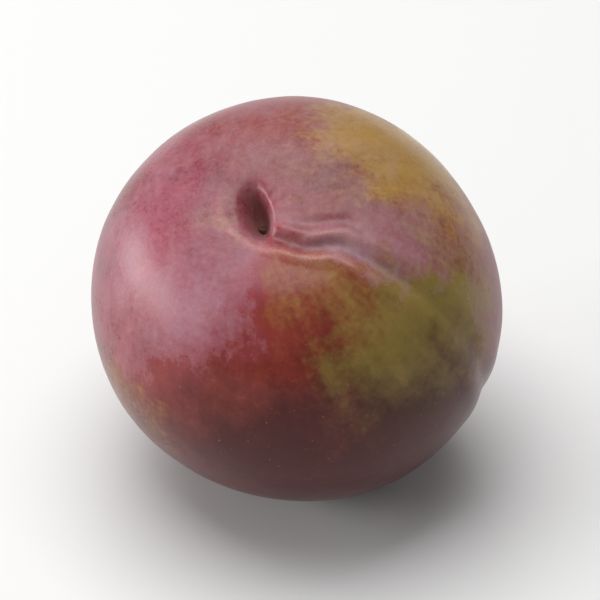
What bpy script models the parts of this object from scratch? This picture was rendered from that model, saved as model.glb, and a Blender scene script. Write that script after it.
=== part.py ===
"""A whole round plum, picked without its stalk, lying on a small flat spot with its stalk end leaning forward.

Metres, +Z up. The origin is the middle of the flat spot, and -Y is the side that the stalk end leans to.
The fruit grew as one piece, so it is one solid: a round body with a stalk pit, a suture and a blossom tip.
"""

import math

import bmesh
import bpy
from mathutils import Matrix, Vector

MM = 0.001

# Body: half widths through the suture and across the cheeks, and half heights along the core
SUTURE_RADIUS = 21.8 * MM
CHEEK_RADIUS = 21.2 * MM
HALF_HEIGHT = 20.9 * MM
TIP_REACH = 0.6 * MM  # how much further the blossom end lies from the middle than the stalk end
SHOULDER_FULLNESS = 0.03  # the stalk half is this share wider than the middle, the blossom half narrower

# Gentle unevenness: share of the radius, waves round the core, and where the first wave lies
WAVES = ((0.016, 2, 1.2), (0.009, 3, 0.3), (0.004, 5, 4.0))

# Stalk end: a shallow basin, longer towards the suture, and in it the pit that the stalk was pulled from
BASIN_DEPTH = 2.1 * MM
BASIN_RADIUS_ALONG = 8.5 * MM
BASIN_RADIUS_ACROSS = 6.8 * MM
BASIN_SHIFT = 1.8 * MM  # how far its middle lies from the pit, towards the suture
PIT_DEPTH = 3.6 * MM
PIT_HALF_WIDTH = 1.1 * MM
PIT_HALF_LENGTH = 2.3 * MM
PIT_TURN = math.radians(38)  # how far its long side is turned on from straight across the suture
PIT_STEEPNESS = 2.2  # 2 is a soft dent, and more makes steeper walls and a flatter floor

# Suture: the groove from the stalk pit to the blossom tip, deepest at the stalk end, between two low lips
SUTURE_DEPTH_STALK = 0.5 * MM
SUTURE_DEPTH_SIDE = 0.2 * MM
SUTURE_HALF_WIDTH_STALK = 0.5 * MM
SUTURE_HALF_WIDTH_SIDE = 1.3 * MM
SUTURE_LIP = 0.45  # height of the lips as a share of the groove's depth
SUTURE_START = (1.0 * MM, 4.0 * MM)  # from the core, where the groove begins and where it is full
SUTURE_BEND = 1.7 * MM  # how far beside the core it meets the pit
SUTURE_BEND_ENDS = (6.0 * MM, 10.5 * MM)  # from the core, where the bend begins and has run out

# Blossom end: a small point in a shallow dimple
TIP_HEIGHT = 0.6 * MM
TIP_RADIUS = 1.3 * MM
DIMPLE_DEPTH = 0.6 * MM
DIMPLE_RADIUS = 2.9 * MM

# How it lies: the core leans forward and to the left, and the suture faces right and forward
LEAN = math.radians(24)
LEAN_TOWARDS = math.radians(236)  # 270 is straight forward, along -Y
SUTURE_TOWARDS = math.radians(-29)
MIDDLE = Vector((-0.3 * MM, -0.3 * MM, 20.55 * MM))  # the body's middle, above the surface it lies on

# Faces: crowded towards the suture and both ends, where the shape turns quickly
FACES_ROUND = 68
FACES_DOWN = 42
CROWD_SUTURE = 0.5
CROWD_STALK = 0.2
CROWD_ENDS = 0.2

SKIN_COLOUR = (0.27, 0.075, 0.06, 1.0)


def clear_scene():
    for obj in list(bpy.data.objects):
        bpy.data.objects.remove(obj)


def smooth_step(low, high, value):
    share = min(max((value - low) / (high - low), 0.0), 1.0)
    return share * share * (3 - 2 * share)


def beside_suture(point):
    """How far beside the suture's middle line this point of the body is."""
    bend = SUTURE_BEND * smooth_step(*reversed(SUTURE_BEND_ENDS), point.x) if point.z > 0 else 0.0
    return point.y + bend


def groove_at(polar, point):
    """How deep the suture's groove, or high its lip when negative, is at this point of the body."""
    side = math.sin(polar)
    depth = SUTURE_DEPTH_STALK + (SUTURE_DEPTH_SIDE - SUTURE_DEPTH_STALK) * smooth_step(0.3, 1.4, polar)
    half_width = SUTURE_HALF_WIDTH_STALK + (SUTURE_HALF_WIDTH_SIDE - SUTURE_HALF_WIDTH_STALK) * side
    across = abs(beside_suture(point)) / half_width
    groove = math.exp(-across**2) - SUTURE_LIP * math.exp(-((across - 2.0) ** 2))
    return depth * groove * smooth_step(*SUTURE_START, point.x)


def pit_at(point):
    """How far into the stalk pit this point of the body lies, from 1 at its bottom to 0 outside it."""
    across = point.x * math.cos(PIT_TURN) + point.y * math.sin(PIT_TURN)
    along = point.y * math.cos(PIT_TURN) - point.x * math.sin(PIT_TURN)
    return math.exp(-(math.hypot(across / PIT_HALF_WIDTH, along / PIT_HALF_LENGTH) ** PIT_STEEPNESS))


def skin_point(polar, turn):
    """A point of the skin, polar down from the stalk end and turn round from the suture, with the core upright."""
    wave = sum(share * math.sin(polar) ** n * math.cos(n * turn + start) for share, n, start in WAVES)
    width = (1 + wave + SHOULDER_FULLNESS * math.cos(polar)) * math.sin(polar)
    point = Vector(
        (
            SUTURE_RADIUS * width * math.cos(turn),
            CHEEK_RADIUS * width * math.sin(turn),
            (HALF_HEIGHT - TIP_REACH / 2 * math.cos(polar)) * math.cos(polar),
        )
    )
    point -= point.normalized() * groove_at(polar, point)
    if polar < math.pi / 2:
        in_basin = math.hypot((point.x - BASIN_SHIFT) / BASIN_RADIUS_ALONG, point.y / BASIN_RADIUS_ACROSS)
        point.z -= BASIN_DEPTH * math.exp(-(in_basin**2)) + PIT_DEPTH * pit_at(point)
    else:
        from_core = math.hypot(point.x, point.y)
        point.z += DIMPLE_DEPTH * math.exp(-((from_core / DIMPLE_RADIUS) ** 2))
        point.z -= TIP_HEIGHT * math.exp(-((from_core / TIP_RADIUS) ** 2))
    return point


def lying_place():
    """The matrix that lays the upright fruit down as it rests."""
    lean_axis = Vector((-math.sin(LEAN_TOWARDS), math.cos(LEAN_TOWARDS), 0))
    lean = Matrix.Rotation(LEAN, 4, lean_axis)
    return Matrix.Translation(MIDDLE) @ lean @ Matrix.Rotation(SUTURE_TOWARDS, 4, "Z")


def cut_flat_spot(mesh, place):
    """Takes off what would lie below the surface and closes the cut with one flat face."""
    floor = place.inverted()
    cut = bmesh.ops.bisect_plane(
        mesh,
        geom=mesh.verts[:] + mesh.edges[:] + mesh.faces[:],
        plane_co=floor.translation,
        plane_no=floor.to_3x3() @ Vector((0, 0, 1)),
        clear_inner=True,
    )
    rim = [edge for edge in cut["geom_cut"] if isinstance(edge, bmesh.types.BMEdge)]
    bmesh.ops.edgeloop_fill(mesh, edges=rim)


def skin_material():
    """Ripe dark red skin under a thin waxy bloom."""
    material = bpy.data.materials.new("plum_skin")
    material.use_nodes = True
    shader = material.node_tree.nodes["Principled BSDF"]
    shader.inputs["Base Color"].default_value = SKIN_COLOUR
    shader.inputs["Roughness"].default_value = 0.45
    shader.inputs["Metallic"].default_value = 0.0
    return material


def plum():
    mesh = bmesh.new()
    bmesh.ops.create_uvsphere(mesh, u_segments=FACES_ROUND, v_segments=FACES_DOWN, radius=1)
    for vert in mesh.verts:
        polar = math.acos(min(max(vert.co.z, -1.0), 1.0))
        turn = math.atan2(vert.co.y, vert.co.x)
        polar -= CROWD_STALK * math.sin(polar) + CROWD_ENDS * math.sin(2 * polar)
        turn -= CROWD_SUTURE * math.sin(turn)
        vert.co = skin_point(polar, turn)
    place = lying_place()
    cut_flat_spot(mesh, place)
    bmesh.ops.recalc_face_normals(mesh, faces=mesh.faces[:])
    data = bpy.data.meshes.new("plum")
    mesh.to_mesh(data)
    mesh.free()
    data.shade_smooth()
    data.set_sharp_from_angle(angle=math.radians(40))
    data.materials.append(skin_material())
    fruit = bpy.data.objects.new("plum", data)
    fruit.matrix_world = place
    return fruit


def main():
    clear_scene()
    collection = bpy.data.collections.new("plum")
    bpy.context.scene.collection.children.link(collection)
    collection.objects.link(plum())


main()
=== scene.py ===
"""A ripe plum in soft studio light: red skin with olive and gold patches under a rubbed waxy bloom."""

import math

import bmesh
import bpy
from mathutils import Matrix, Vector, geometry, noise


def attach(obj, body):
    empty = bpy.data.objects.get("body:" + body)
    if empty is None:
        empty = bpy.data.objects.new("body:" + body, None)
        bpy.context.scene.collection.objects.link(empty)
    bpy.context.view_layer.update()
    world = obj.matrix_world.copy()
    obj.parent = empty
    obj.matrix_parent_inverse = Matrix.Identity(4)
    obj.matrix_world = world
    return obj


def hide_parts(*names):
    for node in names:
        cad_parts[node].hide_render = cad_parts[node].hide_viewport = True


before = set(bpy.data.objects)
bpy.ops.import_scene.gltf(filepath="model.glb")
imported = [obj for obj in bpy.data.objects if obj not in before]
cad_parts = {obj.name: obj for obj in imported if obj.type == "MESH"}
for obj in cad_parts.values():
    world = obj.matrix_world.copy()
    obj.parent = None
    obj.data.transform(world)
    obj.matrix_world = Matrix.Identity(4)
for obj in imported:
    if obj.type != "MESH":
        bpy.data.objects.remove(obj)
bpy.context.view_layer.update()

MM = 0.001

# Body, as in the solid: half widths through the suture and across the cheeks, and half its height
SUTURE_RADIUS = 21.8 * MM
CHEEK_RADIUS = 21.2 * MM
HALF_HEIGHT = 20.9 * MM
TIP_REACH = 0.6 * MM  # how much further the blossom end lies from the middle than the stalk end
SHOULDER_FULLNESS = 0.03  # the stalk half is this share wider than the middle, the blossom half narrower

# Unevenness, as in the solid: share of the radius, waves round the core, and where the first lies
WAVES = ((0.016, 2, 1.2), (0.009, 3, 0.3), (0.004, 5, 4.0))

# Stalk end, as in the solid: a shallow basin, and in it the pit that the stalk was pulled from
BASIN_DEPTH = 2.1 * MM
BASIN_RADIUS_ALONG = 8.5 * MM
BASIN_RADIUS_ACROSS = 6.8 * MM
BASIN_SHIFT = 1.8 * MM  # how far its middle lies from the pit, towards the suture
PIT_DEPTH = 3.6 * MM
PIT_HALF_WIDTH = 1.1 * MM
PIT_HALF_LENGTH = 2.3 * MM
PIT_TURN = math.radians(38)  # how far its long side is turned on from straight across the suture
PIT_STEEPNESS = 2.2  # 2 is a soft dent, and more makes steeper walls and a flatter floor

# Suture, as in the solid: the groove from the pit to the blossom tip, between two low lips
SUTURE_DEPTH_STALK = 0.5 * MM
SUTURE_DEPTH_SIDE = 0.2 * MM
SUTURE_DEPTH_ENDS = (0.3, 1.4)  # radians down from the stalk end, between which its depth changes
SUTURE_HALF_WIDTH_STALK = 0.5 * MM
SUTURE_HALF_WIDTH_SIDE = 1.3 * MM
SUTURE_LIP = 0.45  # height of the lips as a share of the groove's depth
SUTURE_LIP_PLACE = 2.0  # how many of the groove's half widths they lie from its middle
SUTURE_START = (1.0 * MM, 4.0 * MM)  # from the core, where the groove begins and where it is full
SUTURE_BEND = 1.7 * MM  # how far beside the core it meets the pit
SUTURE_BEND_ENDS = (6.0 * MM, 10.5 * MM)  # from the core, where the bend begins and has run out

# Blossom end, as in the solid: a small point in a shallow dimple
TIP_HEIGHT = 0.6 * MM
TIP_RADIUS = 1.3 * MM
DIMPLE_DEPTH = 0.6 * MM
DIMPLE_RADIUS = 2.9 * MM

# How it lies, as in the solid: the core leans forward and left, and the suture faces right and forward
LEAN = math.radians(24)
LEAN_TOWARDS = math.radians(236)  # 270 is straight forward, along -Y
SUTURE_TOWARDS = math.radians(-29)
MIDDLE = Vector((-0.3 * MM, -0.3 * MM, 20.55 * MM))  # the body's middle, above the surface it lies on

# Faces of the skin, crowded towards the suture and both ends
FACES_ROUND = 440
FACES_DOWN = 218
CROWD_SUTURE = 0.5
CROWD_STALK = 0.2
CROWD_ENDS = 0.2

# Relief finer than the solid's faces: soft dents, the suture's wander and the thin line at its bottom
DENTS = ((9.0 * MM, 0.10 * MM), (3.5 * MM, 0.035 * MM))  # how wide and how deep
SUTURE_WANDER = 0.35 * MM
SUTURE_WANDER_LENGTH = 6.0 * MM
SEAM_DEPTH = 0.04 * MM
SEAM_HALF_WIDTH = 0.6 * MM
SEAM_START = (2.0 * MM, 4.5 * MM)  # from the core, where the line begins and where it is full
SEAM_FADE = 0.85  # the share of the line that is lost down the side
SEAM_FADE_ENDS = (0.5, 1.1)  # radians down from the stalk end, where it begins to fade and has faded
PRESS_SOFTNESS = 0.12 * MM  # how softly the flat spot's edge rounds off

# Folds beside the suture: raised, or pressed in when negative, and their paths in mm along and across it
FOLDS = {
    "front lip": {
        "height": 0.16 * MM,
        "half_width": 0.65 * MM,
        "path": (
            (-5, 3),
            (-4.6, 1),
            (-3.8, -1.2),
            (-2.4, -2.2),
            (-0.6, -2.9),
            (1.3, -3.4),
            (3.4, -3.4),
            (5.6, -3.2),
            (7.9, -2.5),
            (10.8, -1.4),
            (12.5, -1.5),
            (14.7, -1.2),
            (17.5, -0.8),
        ),
    },
    "back lip": {
        "height": 0.10 * MM,
        "half_width": 0.5 * MM,
        "path": ((5.4, -0.6), (6.8, -0.2), (8.5, 0.8), (10.1, 1.4), (11.4, 1.0)),
    },
    "back crease": {
        "height": -0.19 * MM,
        "half_width": 0.75 * MM,
        "path": ((3.4, 0.4), (5.0, 0.9), (7.1, 1.7), (8.9, 2.6), (10.6, 2.3), (13.0, 1.8)),
    },
}
FOLD_STEPS = 7  # how many points each stretch of a path is given
FOLD_REACH = 18.0 * MM  # how far from the core the folds end
FOLD_FADE = 0.25  # the share of its length over which a fold fades out, at either end
FOLD_WOBBLE = 0.4 * MM  # how far a fold strays from its path
FOLD_WOBBLE_LENGTH = 2.4 * MM
FOLD_UNEVENNESS = 0.6  # the share of its height that comes and goes along it
FOLD_UNEVENNESS_LENGTH = 1.6 * MM

# The uneven rays that the skin is drawn into, in a ring round the pit
PUCKER_DEPTH = 0.1 * MM
PUCKER_RADIUS = 3.2 * MM
PUCKER_HALF_WIDTH = 1.7 * MM
PUCKER_CLOSENESS = 3.5  # how many rays and gaps follow each other in a radian
PUCKER_LENGTH = 6.0 * MM

# The scar at the bottom of the pit. Its places and half widths are shares of its radius
STALK_SCAR_RADIUS = 0.6 * MM
STALK_SCAR_RAGGEDNESS = 0.1
STALK_SCAR_RING_HEIGHT = 0.07 * MM
STALK_SCAR_RING_PLACE = 0.72
STALK_SCAR_RING_HALF_WIDTH = 0.18
STALK_SCAR_KNOB_HEIGHT = 0.04 * MM
STALK_SCAR_KNOB_HALF_WIDTH = 0.22
STALK_SCAR_CRUMB_HEIGHT = 0.05 * MM
STALK_SCAR_CRUMB_SIZE = 0.35 * MM
STALK_SCAR_EDGE = (1.02, 0.85)  # where its relief ends and where it is full
STALK_SCAR_SINK = 0.05 * MM  # how deep its rim lies in the skin
STALK_SCAR_UNDERSIDE = 0.25 * MM  # how deep its hidden side lies

# The scar on the blossom tip, notched where the petals sat
BLOSSOM_SCAR_RADIUS = 0.42 * MM
BLOSSOM_SCAR_HALF_HEIGHT = 0.22 * MM
BLOSSOM_SCAR_RAGGEDNESS = 0.2
PETALS = 5
PETAL_NOTCH = 0.25

CAMERA_ELEVATION = math.radians(40)
CAMERA_DISTANCE = 0.55
CAMERA_TARGET = Vector((0, 0, 20.5 * MM))
SENSOR_WIDTH = 36  # in mm, as the focal length is
FRAME_WIDTH = 0.063  # what the picture spans at the plum


# Shape


def smooth_step(low, high, value):
    share = min(max((value - low) / (high - low), 0.0), 1.0)
    return share * share * (3 - 2 * share)


def hump(value, half_width):
    return math.exp(-((value / half_width) ** 2))


def beside_suture(polar, point):
    """How far beside the suture's middle line, which wanders a little, this point of the body is."""
    bend = SUTURE_BEND * smooth_step(*reversed(SUTURE_BEND_ENDS), point.x) if point.z > 0 else 0.0
    wander = SUTURE_WANDER * noise.noise(point / SUTURE_WANDER_LENGTH) * math.sin(polar)
    return point.y + bend + wander


def groove_at(polar, point):
    """How deep the suture's groove, or high its lip when negative, is at this point of the body."""
    down = smooth_step(*SUTURE_DEPTH_ENDS, polar)
    depth = SUTURE_DEPTH_STALK + (SUTURE_DEPTH_SIDE - SUTURE_DEPTH_STALK) * down
    out = math.sin(polar)
    half_width = SUTURE_HALF_WIDTH_STALK + (SUTURE_HALF_WIDTH_SIDE - SUTURE_HALF_WIDTH_STALK) * out
    across = abs(beside_suture(polar, point)) / half_width
    groove = hump(across, 1) - SUTURE_LIP * hump(across - SUTURE_LIP_PLACE, 1)
    return depth * groove * smooth_step(*SUTURE_START, point.x)


def body_point(polar, turn):
    """The round body alone, polar down from the stalk end and turn round from the suture."""
    wave = sum(share * math.sin(polar) ** n * math.cos(n * turn + start) for share, n, start in WAVES)
    width = (1 + wave + SHOULDER_FULLNESS * math.cos(polar)) * math.sin(polar)
    height = (HALF_HEIGHT - TIP_REACH / 2 * math.cos(polar)) * math.cos(polar)
    return Vector((SUTURE_RADIUS * width * math.cos(turn), CHEEK_RADIUS * width * math.sin(turn), height))


def seam_at(polar, point):
    """How much of the thin line at the bottom of the suture is here: 1 on its middle and 0 off it."""
    share = (1 - SEAM_FADE * smooth_step(*SEAM_FADE_ENDS, polar)) * smooth_step(*SEAM_START, point.x)
    return share * hump(beside_suture(polar, point), SEAM_HALF_WIDTH)


def smooth_path(corners):
    """A smooth curve through the corners, which are in mm, as points in metres."""
    places = [Vector((along * MM, across * MM)) for along, across in corners]
    places = [places[0] * 2 - places[1], *places, places[-1] * 2 - places[-2]]
    path = []
    for before, start, end, after in zip(places, places[1:], places[2:], places[3:]):
        for step in range(FOLD_STEPS):
            t = step / FOLD_STEPS
            bend = (before * -1 + start * 3 - end * 3 + after) * t**3
            bend += (before * 2 - start * 5 + end * 4 - after) * t**2
            path.append(start + ((end - before) * t + bend) / 2)
    return [*path, places[-2]]


FOLD_PATHS = {name: smooth_path(fold["path"]) for name, fold in FOLDS.items()}


def fold_at(name, point):
    """How much of this fold is at this point of the body: 1 on its crest, 0 off it and past its ends."""
    place = point.xy
    path = FOLD_PATHS[name]
    # Each fold, and each of its two directions, wobbles by another part of the noise
    own = 7 * list(FOLDS).index(name)
    place.x += FOLD_WOBBLE * noise.noise(point / FOLD_WOBBLE_LENGTH + Vector((own, 0, 0)))
    place.y += FOLD_WOBBLE * noise.noise(point / FOLD_WOBBLE_LENGTH + Vector((own, 3, 5)))
    nearest = math.inf
    share = 0.0
    for step, (start, end) in enumerate(zip(path, path[1:])):
        _, along = geometry.intersect_point_line(place, start, end)
        along = min(max(along, 0.0), 1.0)
        distance = (place - start.lerp(end, along)).length
        if distance < nearest:
            nearest = distance
            share = (step + along) / (len(path) - 1)
    fade = smooth_step(0.0, FOLD_FADE, share) * smooth_step(1.0, 1.0 - FOLD_FADE, share)
    return fade * hump(nearest, FOLDS[name]["half_width"])


def folds_at(point):
    """How much of each fold is at this point of the body."""
    if point.z < 0 or point.xy.length > FOLD_REACH:
        return dict.fromkeys(FOLDS, 0.0)
    return {name: fold_at(name, point) for name in FOLDS}


def pit_at(point):
    """How far into the stalk pit this point of the body lies, from 1 at its bottom to 0 outside it."""
    if point.z < 0:
        return 0.0
    across = point.x * math.cos(PIT_TURN) + point.y * math.sin(PIT_TURN)
    along = point.y * math.cos(PIT_TURN) - point.x * math.sin(PIT_TURN)
    return math.exp(-(math.hypot(across / PIT_HALF_WIDTH, along / PIT_HALF_LENGTH) ** PIT_STEEPNESS))


def fine_relief(polar, turn, point):
    """How far the fine forms press the skin in: the seam, the folds, the rays round the pit and dents."""
    pressed = SEAM_DEPTH * seam_at(polar, point)
    unevenness = 1 + FOLD_UNEVENNESS * noise.noise(point / FOLD_UNEVENNESS_LENGTH)
    for name, share in folds_at(point).items():
        pressed -= FOLDS[name]["height"] * unevenness * share
    if polar < math.pi / 2:
        from_core = math.hypot(point.x, point.y)
        round_core = Vector((math.cos(turn), math.sin(turn), 0)) * PUCKER_CLOSENESS
        rays = noise.noise(round_core + Vector((0, 0, from_core / PUCKER_LENGTH)))
        pressed += PUCKER_DEPTH * rays * hump(from_core - PUCKER_RADIUS, PUCKER_HALF_WIDTH)
    for width, depth in DENTS:
        pressed += depth * noise.noise(point / width)
    return pressed


def skin_point(polar, turn):
    """A point of the finished skin, with the core upright and the body's middle at the origin."""
    point = body_point(polar, turn)
    outward = point.normalized()
    pressed = groove_at(polar, point) + fine_relief(polar, turn, point)
    if polar < math.pi / 2:
        in_basin = math.hypot((point.x - BASIN_SHIFT) / BASIN_RADIUS_ALONG, point.y / BASIN_RADIUS_ACROSS)
        point.z -= BASIN_DEPTH * hump(in_basin, 1) + PIT_DEPTH * pit_at(point)
    else:
        from_core = math.hypot(point.x, point.y)
        point.z += DIMPLE_DEPTH * hump(from_core, DIMPLE_RADIUS)
        point.z -= TIP_HEIGHT * hump(from_core, TIP_RADIUS)
    return point - outward * pressed


def lying_place():
    """The matrix that lays the upright fruit down as it rests."""
    lean_axis = Vector((-math.sin(LEAN_TOWARDS), math.cos(LEAN_TOWARDS), 0))
    lean = Matrix.Rotation(LEAN, 4, lean_axis)
    return Matrix.Translation(MIDDLE) @ lean @ Matrix.Rotation(SUTURE_TOWARDS, 4, "Z")


LYING = lying_place()


def lay_down(point):
    """The point where it lies, with the underside pressed flat on the surface."""
    laid = LYING @ point
    laid.z = (laid.z + math.hypot(laid.z, PRESS_SOFTNESS)) / 2
    return laid


# Pieces


def around(vert):
    """How far down from the stalk end and round from the suture this vertex of a ball of radius 1 is."""
    return math.acos(min(max(vert.co.z, -1.0), 1.0)), math.atan2(vert.co.y, vert.co.x)


def as_piece(mesh, name, material):
    """The finished bmesh as an object that rides on the fruit."""
    bmesh.ops.recalc_face_normals(mesh, faces=mesh.faces[:])
    data = bpy.data.meshes.new(name)
    mesh.to_mesh(data)
    mesh.free()
    data.shade_smooth()
    data.materials.append(material)
    piece = bpy.data.objects.new(name, data)
    bpy.context.scene.collection.objects.link(piece)
    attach(piece, "root")
    return piece


def plum_skin():
    """The whole outside of the fruit, which tells its material where the seam, the lips and the pit are."""
    mesh = bmesh.new()
    bmesh.ops.create_uvsphere(mesh, u_segments=FACES_ROUND, v_segments=FACES_DOWN, radius=1)
    seam = mesh.verts.layers.float.new("seam")
    lip = mesh.verts.layers.float.new("lip")
    pit = mesh.verts.layers.float.new("pit")
    for vert in mesh.verts:
        polar, turn = around(vert)
        polar -= CROWD_STALK * math.sin(polar) + CROWD_ENDS * math.sin(2 * polar)
        turn -= CROWD_SUTURE * math.sin(turn)
        body = body_point(polar, turn)
        folds = folds_at(body)
        vert[seam] = seam_at(polar, body)
        vert[lip] = max(folds["front lip"], BACK_LIP_PALENESS * folds["back lip"])
        vert[pit] = pit_at(body)
        vert.co = lay_down(skin_point(polar, turn))
    skin = as_piece(mesh, "plum_skin", skin_finish())
    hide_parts("plum")


def stalk_scar():
    """The dry scar in the pit, where the stalk came away: a low ragged ring round a corky middle."""
    mesh = bmesh.new()
    bmesh.ops.create_uvsphere(mesh, u_segments=72, v_segments=48, radius=1)
    for vert in mesh.verts:
        polar, turn = around(vert)
        ragged = noise.noise(Vector((math.cos(turn), math.sin(turn), 3)) * 1.7)
        share = math.sin(polar / 2) * (1 + STALK_SCAR_RAGGEDNESS * ragged)
        seat = skin_point(share * STALK_SCAR_RADIUS / SUTURE_RADIUS, turn)
        height = STALK_SCAR_RING_HEIGHT * hump(share - STALK_SCAR_RING_PLACE, STALK_SCAR_RING_HALF_WIDTH)
        height += STALK_SCAR_KNOB_HEIGHT * hump(share, STALK_SCAR_KNOB_HALF_WIDTH)
        crumbs = noise.fractal(Vector((seat.x, seat.y, 0)) / STALK_SCAR_CRUMB_SIZE, 1.0, 2.0, 3)
        height += STALK_SCAR_CRUMB_HEIGHT * crumbs
        height = height * smooth_step(*STALK_SCAR_EDGE, share) - STALK_SCAR_SINK
        if vert.co.z < 0:
            height = -STALK_SCAR_UNDERSIDE
        vert.co = LYING @ (seat + Vector((0, 0, height)))
    as_piece(mesh, "stalk_scar", cork_finish())


def blossom_scar():
    """The dark dry point on the blossom tip, all that is left of the flower."""
    mesh = bmesh.new()
    bmesh.ops.create_uvsphere(mesh, u_segments=40, v_segments=24, radius=1)
    seat = skin_point(math.pi, 0)
    for vert in mesh.verts:
        turn = math.atan2(vert.co.y, vert.co.x)
        notched = 1 + PETAL_NOTCH * math.cos(PETALS * turn)
        radius = BLOSSOM_SCAR_RADIUS * (notched + BLOSSOM_SCAR_RAGGEDNESS * noise.noise(vert.co * 2.5))
        vert.co = LYING @ (seat + vert.co * Vector((radius, radius, BLOSSOM_SCAR_HALF_HEIGHT)))
    as_piece(mesh, "blossom_scar", cork_finish())


# Materials


def linear(colour):
    """An sRGB hex colour as the linear values that Blender works in."""
    shares = [int(colour[place : place + 2], 16) / 255 for place in (1, 3, 5)]
    return (*(s / 12.92 if s <= 0.04045 else ((s + 0.055) / 1.055) ** 2.4 for s in shares), 1.0)


def add(tree, kind, inputs=None, **settings):
    """Adds a node with its settings, and fills its inputs with values or other nodes' outputs."""
    node = tree.nodes.new("ShaderNode" + kind)
    for name, value in settings.items():
        setattr(node, name, value)
    for name, value in (inputs or {}).items():
        if isinstance(value, bpy.types.NodeSocket):
            tree.links.new(value, node.inputs[name])
        else:
            node.inputs[name].default_value = value
    return node


def new_material(name):
    material = bpy.data.materials.new(name)
    material.use_nodes = True
    return material, material.node_tree, material.node_tree.nodes["Principled BSDF"]


RIPE_GOLD = linear("#B38B4A")
OLIVE = linear("#8F7A3E")
BRICK_RED = linear("#933C32")
ROSE_RED = linear("#A04A5E")
RED_BROWN_AND_PAINTED_SHADE = linear("#420B0A")
PORE_TAN = linear("#B98A62")
SEAM_PURPLE_AND_CREASE_SHADE = linear("#44202E")
WAX_GREY = linear("#B69AA4")
LIP_HIGHLIGHT_PINK = linear("#CE9488")
TORN_BROWN = linear("#90625A")
CORK_BROWN = linear("#3A2018")
CORK_TAN = linear("#7E5644")
BOARD_WHITE = linear("#F3F3F2")
BOARD_BRIGHT = linear("#F7F7F6")
STUDIO_WHITE = linear("#F8F8FA")

# The skin's patterns: how wide their marks are in mm, how many finer levels they have, and their roughness.
# Streaks and strokes are stretched to their sizes beforehand
PATTERNS = {
    "streaks": (1, 4, 0.6),
    "blotches": (2.78, 6, 0.62),
    "dapples": (0.667, 3, 0.6),
    "clouds": (4.17, 7, 0.68),
    "strokes": (1, 4, 0.6),
    "grain": (0.3125, 4, 0.6),
}
STREAKS_A_RADIAN = 9  # which makes them 2.3 mm wide where the fruit is widest
STREAK_SIZE = (50, 50, 14.3)  # in mm, the last of them along the core
STROKE_SIZE = (0.909 * MM, 5.88 * MM, 5.88 * MM)

# The patches' ragged edges
RAGGED_SIZE = 7.14  # in mm
RAGGED_SHIFT = 0.8  # twice how far an edge strays at most, as a share of the radius

# Pale breathing pores, in mm, and how far the palest of them differ from the skin
PORE_SPACING = 0.87
PORE_RADII = (0.052, 0.174)
PORE_PALENESS = 0.55

# The skin's qualities: the usual value, how much each pattern breaks it up, and patches where it differs.
# A patch has its middle, turned round from the suture and down from the stalk end, then how far round that
# its change is full and has faded out, all in degrees, and last the change

# From ripe gold, 0, to olive, 1, under the blush
GREENNESS = {
    "usual": 0.45,
    "patterns": {"blotches": 0.5},
    "patches": {
        "olive cheek": (-4, 68, 12, 40, 0.5),
        "gold shoulder": (54, 56, 12, 44, -0.5),
        "ochre flank": (-120, 80, 6, 34, -0.4),
        "olive back": (113, 112, 8, 45, 0.4),
    },
}
# How much of that the red blush covers
BLUSH = {
    "usual": 1.0,
    "patterns": {"streaks": 0.5, "blotches": 0.5, "dapples": 0.75},
    "patches": {
        "olive cheek": (-16, 60, 2, 28, -0.6),
        "olive side": (0, 71, 6, 32, -0.8),
        "brown side": (6, 50, 4, 20, -0.2),
        "gold shoulder": (54, 58, 2, 36, -1.0),
        "ochre flank": (-121, 80, 3, 24, -0.5),
        "below the lip": (-34, 30, 3, 16, -0.35),
        "beside the lip": (-15, 39, 3, 16, -0.25),
        "beside the pit": (-165, 11, 2, 9, -0.4),
        "behind the pit": (60, 22, 4, 16, -0.3),
        "brown shoulder": (28, 56, 4, 20, 0.25),
        "brown gap": (4, 48, 4, 14, 0.2),
        "brown front": (-33, 56, 5, 18, -0.15),
        "brown foot": (-28, 72, 6, 28, -0.5),
        "tan crown": (78, 46, 3, 26, -0.4),
        "gold back": (143, 80, 4, 30, -0.45),
        "olive back": (98, 112, 4, 28, -0.6),
    },
}
# From brick, 0, to rose, 1
ROSINESS = {
    "usual": 0.3,
    "patterns": {"blotches": 0.6},
    "patches": {
        "left shoulder": (-132, 34, 14, 55, 0.5),
        "crown": (96, 36, 8, 40, -0.35),
        "front": (-50, 55, 10, 40, -0.4),
        "lower left": (-88, 64, 10, 28, -0.25),
        "left flank": (-118, 64, 6, 28, -0.25),
        "below the lip": (-32, 31, 5, 24, -0.3),
        "back": (163, 70, 20, 60, 0.15),
    },
}
# How far the colours are darkened to red brown: the skin's own deeper red in places, and painted shade on
# the foot, the lower left and the underside
DARKNESS = {
    "usual": 0.14,
    "patterns": {"streaks": 0.6, "blotches": 0.4, "dapples": 0.4},
    "patches": {
        "deep red": (-43, 60, 5, 17, 0.25),
        # Painted shade on the foot and to its right
        "foot": (-55, 122, 18, 84, 1.0),
        "right foot": (-30, 104, 6, 40, 0.4),
        # Painted shade on the lower left
        "lower left": (-78, 68, 10, 30, 0.42),
        "brown shoulder": (28, 54, 4, 20, 0.15),
        "beside the basin": (42, 36, 3, 14, 0.12),
        "left cheek": (-130, 17, 4, 15, 0.2),
        # Painted shade low on the front
        "brown foot": (-13, 80, 6, 22, 0.22),
        "left of the pit": (155, 18, 4, 17, 0.3),
        "behind the pit": (76, 20, 5, 16, 0.3),
        "right rim": (4, 77, 6, 20, -0.18),
        "below the lip": (-30, 40, 4, 14, 0.2),
        # Painted shade on the left foot
        "left foot": (-125, 96, 12, 40, 0.3),
        "basin": (25, 24, 4, 18, 0.22),
        # Painted shade over the lower back half
        "blossom half": (150, 140, 20, 95, 0.85),
        "left side": (-150, 88, 15, 60, 0.35),
        "back": (165, 72, 14, 58, 0.35),
    },
}
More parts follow.
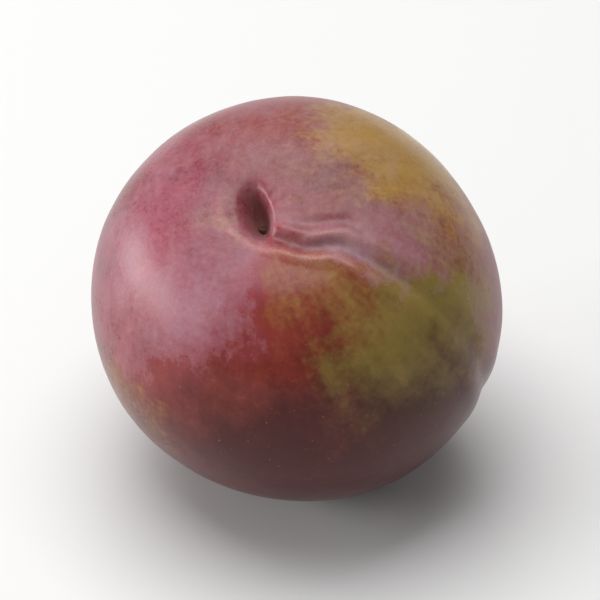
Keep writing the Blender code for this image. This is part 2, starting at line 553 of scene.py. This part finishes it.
# How thick the bloom lies
BLOOM = {
    "usual": 0.32,
    "patterns": {"clouds": 0.8, "strokes": 0.35, "grain": 0.45, "dapples": -0.35},
    "patches": {
        "crown": (96, 36, 6, 34, 0.06),
        "beside the pit": (-155, 12, 2, 8, 0.12),
        "left of the pit": (-175, 15, 6, 18, -0.13),
        "behind the pit": (66, 22, 5, 16, -0.15),
        "along the lips": (-8, 27, 5, 15, 0.15),
        "beside the suture": (-4, 37, 4, 13, 0.2),
        "beyond the pit": (-12, 11, 3, 11, 0.2),
        "left cheek": (-110, 31, 5, 14, 0.13),
        "below the lip": (-36, 29, 5, 22, -0.42),
        "beside the lip": (-14, 40, 4, 16, -0.15),
        "right edge": (17, 86, 6, 24, 0.10),
        "rubbed shoulder": (54, 56, 6, 30, -0.25),
        "beside the basin": (18, 43, 5, 20, 0.16),
        "rubbed front": (-38, 69, 28, 46, -0.42),
        "rubbed side": (-3, 68, 10, 28, -0.2),
        "rubbed left foot": (-115, 96, 22, 48, -0.30),
        "rubbed lower left": (-85, 65, 10, 27, -0.35),
        "rubbed foot": (-47, 116, 34, 66, -0.35),
        "rubbed brown foot": (-20, 80, 8, 28, -0.15),
        "rubbed back": (158, 60, 6, 30, -0.18),
        "rubbed back foot": (165, 112, 20, 75, -0.25),
    },
}
LIP_BLOOM = 0.1  # how much more bloom the folds' crests hold
SEAM_BLOOM = 0.3  # how much more of it is caught in the suture
# Painted highlight: how pale the folds' lit crests are painted
LIP_HIGHLIGHT_PALENESS = 0.65
BACK_LIP_PALENESS = 0.7  # as a share of the front lip's
# How far the suture's line is darkened: partly its own dark line, partly painted shade in the groove
SEAM_DARKNESS = 0.25


def on_skin(turn, down):
    """The direction of a place on the skin, turned round from the suture and down from the stalk end."""
    turn = math.radians(turn)
    down = math.radians(down)
    return Vector((math.sin(down) * math.cos(turn), math.sin(down) * math.sin(turn), math.cos(down)))


def ragged_direction(tree, upright, mm):
    """The direction from the fruit's middle, shifted by noise so that the patches get ragged edges."""
    direction = add(tree, "VectorMath", {0: upright}, operation="NORMALIZE").outputs[0]
    waver = add(
        tree,
        "TexNoise",
        {"Vector": mm, "Scale": 1 / RAGGED_SIZE, "Detail": 5, "Roughness": 0.62},
    ).outputs["Color"]
    waver = add(tree, "VectorMath", {0: waver, 1: (0.5, 0.5, 0.5)}, operation="SUBTRACT").outputs[0]
    waver = add(tree, "VectorMath", {0: waver, "Scale": RAGGED_SHIFT}, operation="SCALE").outputs[0]
    ragged = add(tree, "VectorMath", {0: direction, 1: waver}, operation="ADD").outputs[0]
    return add(tree, "VectorMath", {0: ragged}, operation="NORMALIZE").outputs[0]


def streak_place(tree, upright, mm):
    """A place for noise that is stretched into streaks from the stalk end to the blossom end."""
    level = add(tree, "VectorMath", {0: upright, 1: (1, 1, 0)}, operation="MULTIPLY").outputs[0]
    level = add(tree, "VectorMath", {0: level}, operation="NORMALIZE").outputs[0]
    level = add(tree, "VectorMath", {0: level, "Scale": STREAKS_A_RADIAN}, operation="SCALE").outputs[0]
    along = add(tree, "VectorMath", {0: mm, 1: STREAK_SIZE}, operation="DIVIDE").outputs[0]
    return add(tree, "VectorMath", {0: level, 1: along}, operation="ADD").outputs[0]


def stroke_place(tree, lying):
    """A place for noise that is stretched into the strokes that rubbed the bloom."""
    stretched = add(tree, "VectorMath", {0: lying, 1: STROKE_SIZE}, operation="DIVIDE").outputs[0]
    # Turned so that the noise's own grid doesn't show
    return add(tree, "Mapping", {"Vector": stretched, "Rotation": (0.3, 0.75, 0.5)}).outputs[0]


def skin_patterns(tree, lying, upright, mm):
    """The patterns by name, each a value that runs round 0.5."""
    stretched = {"streaks": streak_place(tree, upright, mm), "strokes": stroke_place(tree, lying)}
    patterns = {}
    for name, (size, detail, roughness) in PATTERNS.items():
        place = stretched.get(name, mm)
        marks = {"Vector": place, "Scale": 1 / size, "Detail": detail, "Roughness": roughness}
        patterns[name] = add(tree, "TexNoise", marks).outputs[0]
    return patterns


def over_skin(tree, quality, direction, patterns):
    """A quality of the skin: its usual value, changed in its patches and broken up by its patterns."""
    total = quality["usual"]
    for turn, down, full, faded, change in quality["patches"].values():
        nearness = add(
            tree,
            "VectorMath",
            {0: direction, 1: on_skin(turn, down)},
            operation="DOT_PRODUCT",
        ).outputs["Value"]
        limits = {"From Min": math.cos(math.radians(faded)), "From Max": math.cos(math.radians(full))}
        patch = add(
            tree,
            "MapRange",
            {"Value": nearness, **limits},
            interpolation_type="SMOOTHSTEP",
        ).outputs[0]
        total = add(tree, "Math", {0: patch, 1: change, 2: total}, operation="MULTIPLY_ADD").outputs[0]
    for name, amount in quality["patterns"].items():
        centred = add(tree, "Math", {0: patterns[name], 1: 0.5}, operation="SUBTRACT").outputs[0]
        total = add(tree, "Math", {0: centred, 1: amount, 2: total}, operation="MULTIPLY_ADD").outputs[0]
    return total


def ripe_colour_with_painted_shade(tree, direction, patterns):
    """The colour under the bloom: red mottled over gold and olive, darkened to red brown, much of it
    painted shade on the foot and the underside.
    """
    greenness = over_skin(tree, GREENNESS, direction, patterns)
    ground = add(tree, "Mix", {0: greenness, 6: RIPE_GOLD, 7: OLIVE}, data_type="RGBA").outputs[2]
    rosiness = over_skin(tree, ROSINESS, direction, patterns)
    red = add(tree, "Mix", {0: rosiness, 6: BRICK_RED, 7: ROSE_RED}, data_type="RGBA").outputs[2]
    blush = add(
        tree,
        "MapRange",
        {"Value": over_skin(tree, BLUSH, direction, patterns), "From Min": -0.1, "From Max": 1.0},
        interpolation_type="SMOOTHSTEP",
    ).outputs[0]
    colour = add(tree, "Mix", {0: blush, 6: ground, 7: red}, data_type="RGBA").outputs[2]
    # Mixes in the red brown, which is mostly painted shade at the foot and underside
    darkness = add(
        tree,
        "MapRange",
        {
            "Value": over_skin(tree, DARKNESS, direction, patterns),
            "From Min": -0.15,
            "From Max": 1.35,
            "To Max": 0.93,
        },
        interpolation_type="SMOOTHSTEP",
    ).outputs[0]
    return add(tree, "Mix", {0: darkness, 6: colour, 7: RED_BROWN_AND_PAINTED_SHADE}, data_type="RGBA").outputs[2]


def breathing_pores(tree, mm):
    """Where the pores are, 1 on the middle of one, and how pale each of them is there."""
    cells = add(tree, "TexVoronoi", {"Vector": mm, "Scale": 1 / PORE_SPACING, "Randomness": 1.0})
    chance = add(tree, "SeparateColor", {0: cells.outputs["Color"]})
    smallest, largest = (radius / PORE_SPACING for radius in PORE_RADII)
    edge = add(
        tree,
        "MapRange",
        {"Value": chance.outputs[0], "To Min": smallest, "To Max": largest},
    ).outputs[0]
    pores = add(
        tree,
        "MapRange",
        {"Value": cells.outputs["Distance"], "From Min": edge, "From Max": 0.0},
        interpolation_type="SMOOTHSTEP",
    ).outputs[0]
    pale = add(tree, "Math", {0: pores, 1: chance.outputs[1]}, operation="MULTIPLY").outputs[0]
    pale = add(tree, "Math", {0: pale, 1: PORE_PALENESS}, operation="MULTIPLY").outputs[0]
    return pores, pale


def skin_finish():
    """Ripe plum skin, thin and taut: satin and mottled, greyed by a rubbed coat of its own wax."""
    material, tree, shader = new_material("ripe_plum_skin")
    lying = add(tree, "TexCoord").outputs["Object"]
    upright = add(
        tree,
        "Mapping",
        {"Vector": lying, "Location": LYING.translation, "Rotation": LYING.to_euler()},
        vector_type="TEXTURE",
    ).outputs[0]
    mm = add(tree, "VectorMath", {0: upright, "Scale": 1 / MM}, operation="SCALE").outputs[0]
    seam = add(tree, "Attribute", attribute_name="seam").outputs["Fac"]
    lip = add(tree, "Attribute", attribute_name="lip").outputs["Fac"]
    pit = add(tree, "Attribute", attribute_name="pit").outputs["Fac"]
    direction = ragged_direction(tree, upright, mm)
    patterns = skin_patterns(tree, lying, upright, mm)

    # Under the bloom: the ripe colours with their painted shade low down, pale pores and the faint dark
    # line of the suture, partly painted shade in its groove
    colour = ripe_colour_with_painted_shade(tree, direction, patterns)
    pores, pale = breathing_pores(tree, mm)
    colour = add(tree, "Mix", {0: pale, 6: colour, 7: PORE_TAN}, data_type="RGBA").outputs[2]
    # Painted shade: the suture's thin line is darkened to purple, partly its own line and partly shade in
    # the groove
    dark = add(tree, "Math", {0: seam, 1: SEAM_DARKNESS}, operation="MULTIPLY").outputs[0]
    colour = add(tree, "Mix", {0: dark, 6: colour, 7: SEAM_PURPLE_AND_CREASE_SHADE}, data_type="RGBA").outputs[2]

    # The bloom: thickest by the pit and the suture, mostly rubbed off the front and the foot
    bloom = over_skin(tree, BLOOM, direction, patterns)
    bloom = add(tree, "Math", {0: lip, 1: LIP_BLOOM, 2: bloom}, operation="MULTIPLY_ADD").outputs[0]
    bloom = add(tree, "Math", {0: seam, 1: SEAM_BLOOM, 2: bloom}, operation="MULTIPLY_ADD").outputs[0]
    bloom = add(
        tree,
        "MapRange",
        {"Value": bloom, "From Min": 0.05, "From Max": 0.9, "To Max": 0.6},
    ).outputs[0]
    colour = add(tree, "Mix", {0: bloom, 6: colour, 7: WAX_GREY}, data_type="RGBA").outputs[2]

    # The lips' thin crests are painted pale as a highlight, and the torn skin in the pit is brown
    grain = patterns["grain"]
    pale = add(tree, "Math", {0: lip, 1: grain}, operation="MULTIPLY").outputs[0]
    pale = add(tree, "Math", {0: pale, 1: LIP_HIGHLIGHT_PALENESS}, operation="MULTIPLY").outputs[0]
    colour = add(tree, "Mix", {0: pale, 6: colour, 7: LIP_HIGHLIGHT_PINK}, data_type="RGBA").outputs[2]
    torn = add(
        tree,
        "MapRange",
        {"Value": pit, "From Min": 0.15, "From Max": 0.95, "To Max": 0.85},
    ).outputs[0]
    colour = add(tree, "Mix", {0: torn, 6: colour, 7: TORN_BROWN}, data_type="RGBA").outputs[2]
    tree.links.new(colour, shader.inputs["Base Color"])

    # Rubbed skin is glossy, and the wax and the suture are duller
    roughness = add(
        tree,
        "MapRange",
        {"Value": bloom, "From Max": 0.5, "To Min": 0.25, "To Max": 0.5},
    ).outputs[0]
    roughness = add(tree, "Math", {0: seam, 1: 0.2, 2: roughness}, operation="MULTIPLY_ADD").outputs[0]
    tree.links.new(roughness, shader.inputs["Roughness"])
    shader.inputs["IOR"].default_value = 1.36
    shader.inputs["Subsurface Weight"].default_value = 0.12
    shader.inputs["Subsurface Radius"].default_value = (1.0, 0.35, 0.2)
    shader.inputs["Subsurface Scale"].default_value = 1.5 * MM

    # Relief too fine for the mesh: skin cells, pores and the edge of the wax, a few hundredths of a mm high
    height = add(tree, "Math", {0: pores, 1: 0.5, 2: grain}, operation="MULTIPLY_ADD").outputs[0]
    height = add(tree, "Math", {0: bloom, 1: 0.8, 2: height}, operation="MULTIPLY_ADD").outputs[0]
    bump = add(tree, "Bump", {"Height": height, "Strength": 0.5, "Distance": 0.03 * MM}).outputs[0]
    tree.links.new(bump, shader.inputs["Normal"])
    return material


def cork_finish():
    """Dry corky scar tissue: matt, crumbly and brown, paler on its raised edges."""
    material, tree, shader = new_material("dry_scar_cork")
    place = add(tree, "TexCoord").outputs["Object"]
    crumb_size = 0.385 * MM
    crumbs = add(
        tree,
        "TexNoise",
        {"Vector": place, "Scale": 1 / crumb_size, "Detail": 5, "Roughness": 0.65},
    ).outputs["Fac"]
    colour = add(tree, "Mix", {0: crumbs, 6: CORK_BROWN, 7: CORK_TAN}, data_type="RGBA").outputs[2]
    tree.links.new(colour, shader.inputs["Base Color"])
    shader.inputs["Roughness"].default_value = 0.85
    bump = add(tree, "Bump", {"Height": crumbs, "Strength": 0.8, "Distance": 0.08 * MM}).outputs[0]
    tree.links.new(bump, shader.inputs["Normal"])
    return material


def floor_finish():
    """Matt white studio board, very slightly uneven in its white."""
    material, tree, shader = new_material("white_studio_board")
    place = add(tree, "TexCoord").outputs["Object"]
    cloud_size = 167 * MM
    clouds = add(tree, "TexNoise", {"Vector": place, "Scale": 1 / cloud_size, "Detail": 3}).outputs["Fac"]
    colour = add(tree, "Mix", {0: clouds, 6: BOARD_WHITE, 7: BOARD_BRIGHT}, data_type="RGBA").outputs[2]
    tree.links.new(colour, shader.inputs["Base Color"])
    shader.inputs["Roughness"].default_value = 0.7
    return material


# Stage


def floor():
    mesh = bmesh.new()
    bmesh.ops.create_grid(mesh, x_segments=1, y_segments=1, size=3)
    data = bpy.data.meshes.new("floor")
    mesh.to_mesh(data)
    mesh.free()
    data.materials.append(floor_finish())
    board = bpy.data.objects.new("floor", data)
    bpy.context.scene.collection.objects.link(board)


def softbox(name, place, size, power, tilt=0.0):
    """A white rectangular soft light that faces the plum, tilted about the line to it."""
    data = bpy.data.lights.new(name, "AREA")
    data.shape = "RECTANGLE"
    data.size, data.size_y = size
    data.energy = power
    light = bpy.data.objects.new(name, data)
    light.location = place
    facing = (MIDDLE - Vector(place)).to_track_quat("-Z", "Y").to_matrix()
    light.rotation_euler = (facing @ Matrix.Rotation(tilt, 3, "Z")).to_euler()
    bpy.context.scene.collection.objects.link(light)


def studio():
    """A broad light above, a low window of light at the left and a faint even light from all round."""
    softbox("top_light", place=(-0.08, 0.10, 0.62), size=(0.58, 0.58), power=3.7)
    softbox("left_window", place=(-0.60, 0.055, 0.12), size=(0.58, 0.16), power=2.8, tilt=math.radians(15))
    world = bpy.data.worlds.new("studio")
    world.use_nodes = True
    background = world.node_tree.nodes["Background"]
    background.inputs["Color"].default_value = STUDIO_WHITE
    background.inputs["Strength"].default_value = 0.22
    bpy.context.scene.world = world


def camera():
    data = bpy.data.cameras.new("camera")
    data.sensor_width = SENSOR_WIDTH
    data.lens = SENSOR_WIDTH * CAMERA_DISTANCE / FRAME_WIDTH
    data.clip_start = 0.01
    eye = bpy.data.objects.new("camera", data)
    towards = Vector((0, -math.cos(CAMERA_ELEVATION), math.sin(CAMERA_ELEVATION)))
    eye.location = CAMERA_TARGET + towards * CAMERA_DISTANCE
    eye.rotation_euler = (-towards).to_track_quat("-Z", "Y").to_euler()
    bpy.context.scene.collection.objects.link(eye)
    bpy.context.scene.camera = eye


plum_skin()
stalk_scar()
blossom_scar()
floor()
studio()
camera()
bpy.context.scene.view_settings.view_transform = "Standard"
bpy.context.scene.cycles.use_denoising = True
